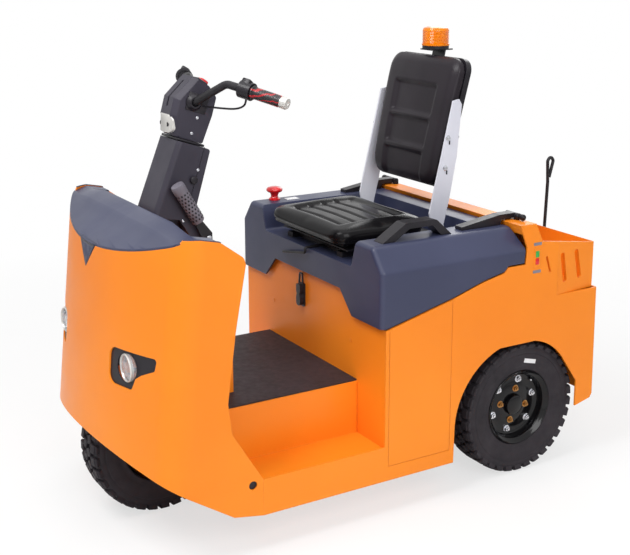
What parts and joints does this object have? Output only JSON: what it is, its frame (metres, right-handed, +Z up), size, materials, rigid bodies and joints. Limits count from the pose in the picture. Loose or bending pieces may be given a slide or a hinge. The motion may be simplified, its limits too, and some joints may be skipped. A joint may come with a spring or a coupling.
{
  "type": "electric tow tractor",
  "caption": "Three-wheeled sit-on electric tow tractor with a curved front apron, raked steering column, hinged hood with the seat, rear tray and a pin coupling.",
  "frame": {"origin": "on the ground, in the middle of the length and width", "axes": "+X forward, +Y to the driver's left, +Z up"},
  "size_m": [1.7099, 0.8185, 1.338],
  "materials": {
    "orange": "gloss powder coat",
    "navy": "moulded, fine grain",
    "column": "textured",
    "black_paint": "satin",
    "black_plastic": "moulded",
    "mat": "ribbed",
    "vinyl": "smooth vinyl",
    "tyre": "black rubber",
    "rim": "gloss black",
    "steel": "zinc plated",
    "silver": "satin",
    "amber": "moulded lens",
    "lens": "clear lens",
    "red": "moulded",
    "grey_plastic": "moulded"
  },
  "bodies": {
    "chassis": {"apron": "orange", "battery": "black_plastic", "brake_grip": "grey_plastic", "brake_lever": "black_paint", "column_cover": "column", "column_post": "column", "coupling": "black_paint", "cross_beam": "orange", "drive_unit": "black_paint", "floor_mat": "mat", "front_cap": "navy", "front_wall": "orange", "headlamps": "lens", "hinge_brackets": "black_paint", "hood_latch": "black_paint", "inching_switch": "black_plastic", "lamp_backings": "black_plastic", "main_frame": "black_paint", "rear_axle": "black_paint", "rear_plate": "orange", "side_door_left": "orange", "side_door_right": "orange", "side_panel_left": "orange", "side_panel_right": "orange", "step_frame": "orange", "tray": "orange", "wheel_housing": "orange"},
    "fork": {"fork": "steel"},
    "front_wheel": {"tyre_front": "tyre", "rim_front": "rim"},
    "rear_wheel_left": {"tyre_rear_left": "tyre", "rim_rear_left": "rim"},
    "rear_wheel_right": {"tyre_rear_right": "tyre", "rim_rear_right": "rim"},
    "steering": {"steering_head": "column", "head_trim": "silver", "handlebar": "black_paint", "grips": "black_plastic", "throttle_housings": "black_plastic", "throttle_cable": "black_plastic"},
    "hood": {"hood": "navy", "hinge_straps": "black_paint", "grab_handle": "black_plastic", "emergency_stop": "red", "seat_rails": "black_paint"},
    "seat": {"seat_pan": "black_paint", "seat_cushion": "vinyl", "backrest_shell": "grey_plastic", "backrest_cushion": "vinyl", "backrest_brackets": "steel", "beacon_base": "black_plastic", "beacon_lens": "amber"},
    "tow_pin": {"tow_pin": "black_paint"}
  },
  "joints": [
    {"name": "steer", "type": "hinge", "parent": "chassis", "child": "fork", "pos_m": [0.625, 0, 0.45], "axis": [0, 0, 1], "range_deg": [-45, 45]},
    {"name": "front_wheel_spin", "type": "hinge", "parent": "fork", "child": "front_wheel", "pos_m": [0.625, 0, 0.2075], "axis": [0, 1, 0], "continuous": true},
    {"name": "rear_left_spin", "type": "hinge", "parent": "chassis", "child": "rear_wheel_left", "pos_m": [-0.405, 0.33, 0.2075], "axis": [0, 1, 0], "continuous": true},
    {"name": "rear_right_spin", "type": "hinge", "parent": "chassis", "child": "rear_wheel_right", "pos_m": [-0.405, -0.33, 0.2075], "axis": [0, 1, 0], "continuous": true},
    {"name": "handlebar_turn", "type": "hinge", "parent": "chassis", "child": "steering", "pos_m": [0.51, 0, 1.048], "axis": [-0.3173, 0, 0.9483], "range_deg": [-45, 45]},
    {"name": "hood_open", "type": "hinge", "parent": "chassis", "child": "hood", "pos_m": [-0.405, 0, 0.797], "axis": [0, -1, 0], "range_deg": [0, 50]},
    {"name": "seat_slide", "type": "slide", "parent": "hood", "child": "seat", "axis": [1, 0, 0], "range_m": [-0.03, 0.05]},
    {"name": "pin_lift", "type": "slide", "parent": "chassis", "child": "tow_pin", "axis": [0, 0, 1], "range_m": [0, 0.15]}
  ],
  "couplings": [
    {"joint": "handlebar_turn", "follows": "steer", "ratio": 1}
  ]
}
